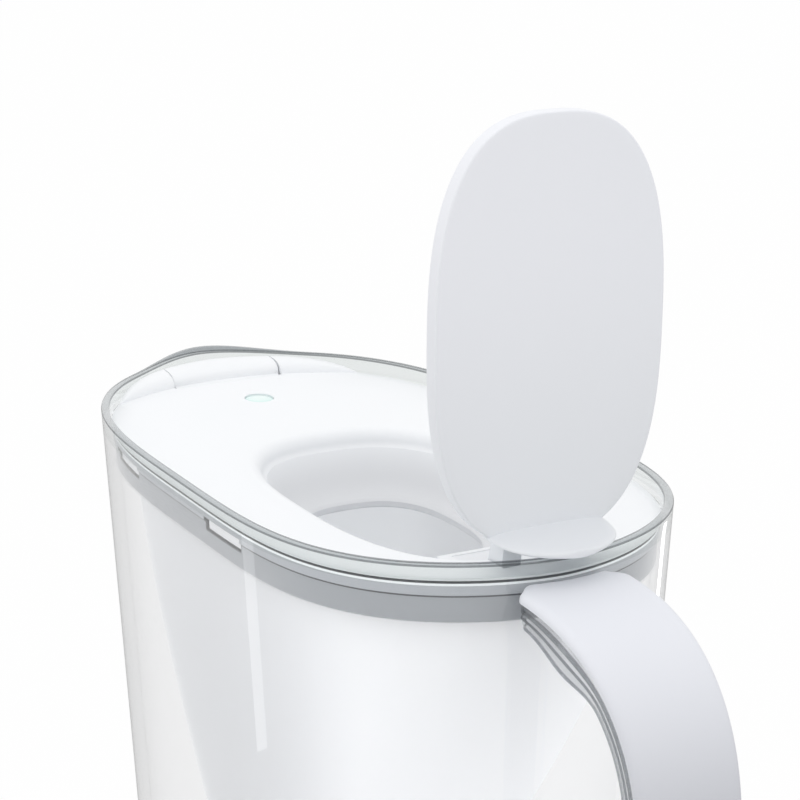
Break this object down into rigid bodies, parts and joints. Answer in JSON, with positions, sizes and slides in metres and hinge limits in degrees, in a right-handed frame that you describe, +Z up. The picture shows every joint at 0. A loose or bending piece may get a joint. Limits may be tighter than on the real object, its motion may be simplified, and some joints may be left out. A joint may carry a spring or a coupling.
{
  "type": "water filter pitcher",
  "caption": "Clear water filter pitcher with a pouring beak, loop handle with soft grip, pale hopper with filter cartridge, white cover, spout flap and an upright flip-up filling lid.",
  "frame": {"origin": "on the table, under the middle of the rim", "axes": "+Z up, +X towards the handle, -X towards the spout"},
  "size_m": [0.2617, 0.1116, 0.3629],
  "materials": {
    "clear_plastic": "clear, polished",
    "soft_grip": "satin soft-touch",
    "pale_plastic": "translucent satin",
    "white_plastic": "satin white",
    "lilac_grey_plastic": "satin",
    "window_plastic": "translucent, polished",
    "housing_plastic": "fine moulded",
    "board": "solder mask",
    "led": "clear lens",
    "cell_steel": "bright",
    "clip_brass": "bright sheet",
    "seal_rubber": "matte",
    "cartridge_plastic": "satin white",
    "gasket_rubber": "matte",
    "screen_plastic": "fine moulded",
    "carbon": "granular"
  },
  "bodies": {
    "jug_body": {"jug": "clear_plastic", "handle_grip": "soft_grip"},
    "insert_body": {"funnel": "pale_plastic", "lid": "white_plastic", "indicator_housing": "housing_plastic", "indicator_board": "board", "indicator_led": "led", "coin_cell": "cell_steel", "cell_clip": "clip_brass", "indicator_seal": "seal_rubber", "indicator_cover": "housing_plastic"},
    "flip_body": {"flip_lid": "lilac_grey_plastic"},
    "flap_body": {"spout_flap": "white_plastic"},
    "button_body": {"indicator_window": "window_plastic"},
    "cartridge_body": {"cartridge_cup": "cartridge_plastic", "cartridge_cap": "cartridge_plastic", "cartridge_gasket": "gasket_rubber", "cap_screen": "screen_plastic", "filter_media": "carbon", "bottom_strainer": "screen_plastic"}
  },
  "joints": [
    {"name": "insert_lift", "type": "slide", "parent": "jug_body", "child": "insert_body", "axis": [0, 0, 1], "range_m": [0, 0.12]},
    {"name": "flip_hinge", "type": "hinge", "parent": "insert_body", "child": "flip_body", "pos_m": [0.08213, 0, 0.25435], "axis": [0, -1, 0], "range_deg": [0, 90.95]},
    {"name": "flap_hinge", "type": "hinge", "parent": "insert_body", "child": "flap_body", "pos_m": [-0.0917, 0, 0.25799], "axis": [0, 1, 0], "range_deg": [0, 45]},
    {"name": "indicator_press", "type": "slide", "parent": "insert_body", "child": "button_body", "axis": [0, 0, -1], "range_m": [0, 0.0005], "stiffness_N_per_m": 300, "springref_m": -0.002},
    {"name": "cartridge_lift", "type": "slide", "parent": "insert_body", "child": "cartridge_body", "axis": [0, 0, 1], "range_m": [0, 0.06]}
  ]
}
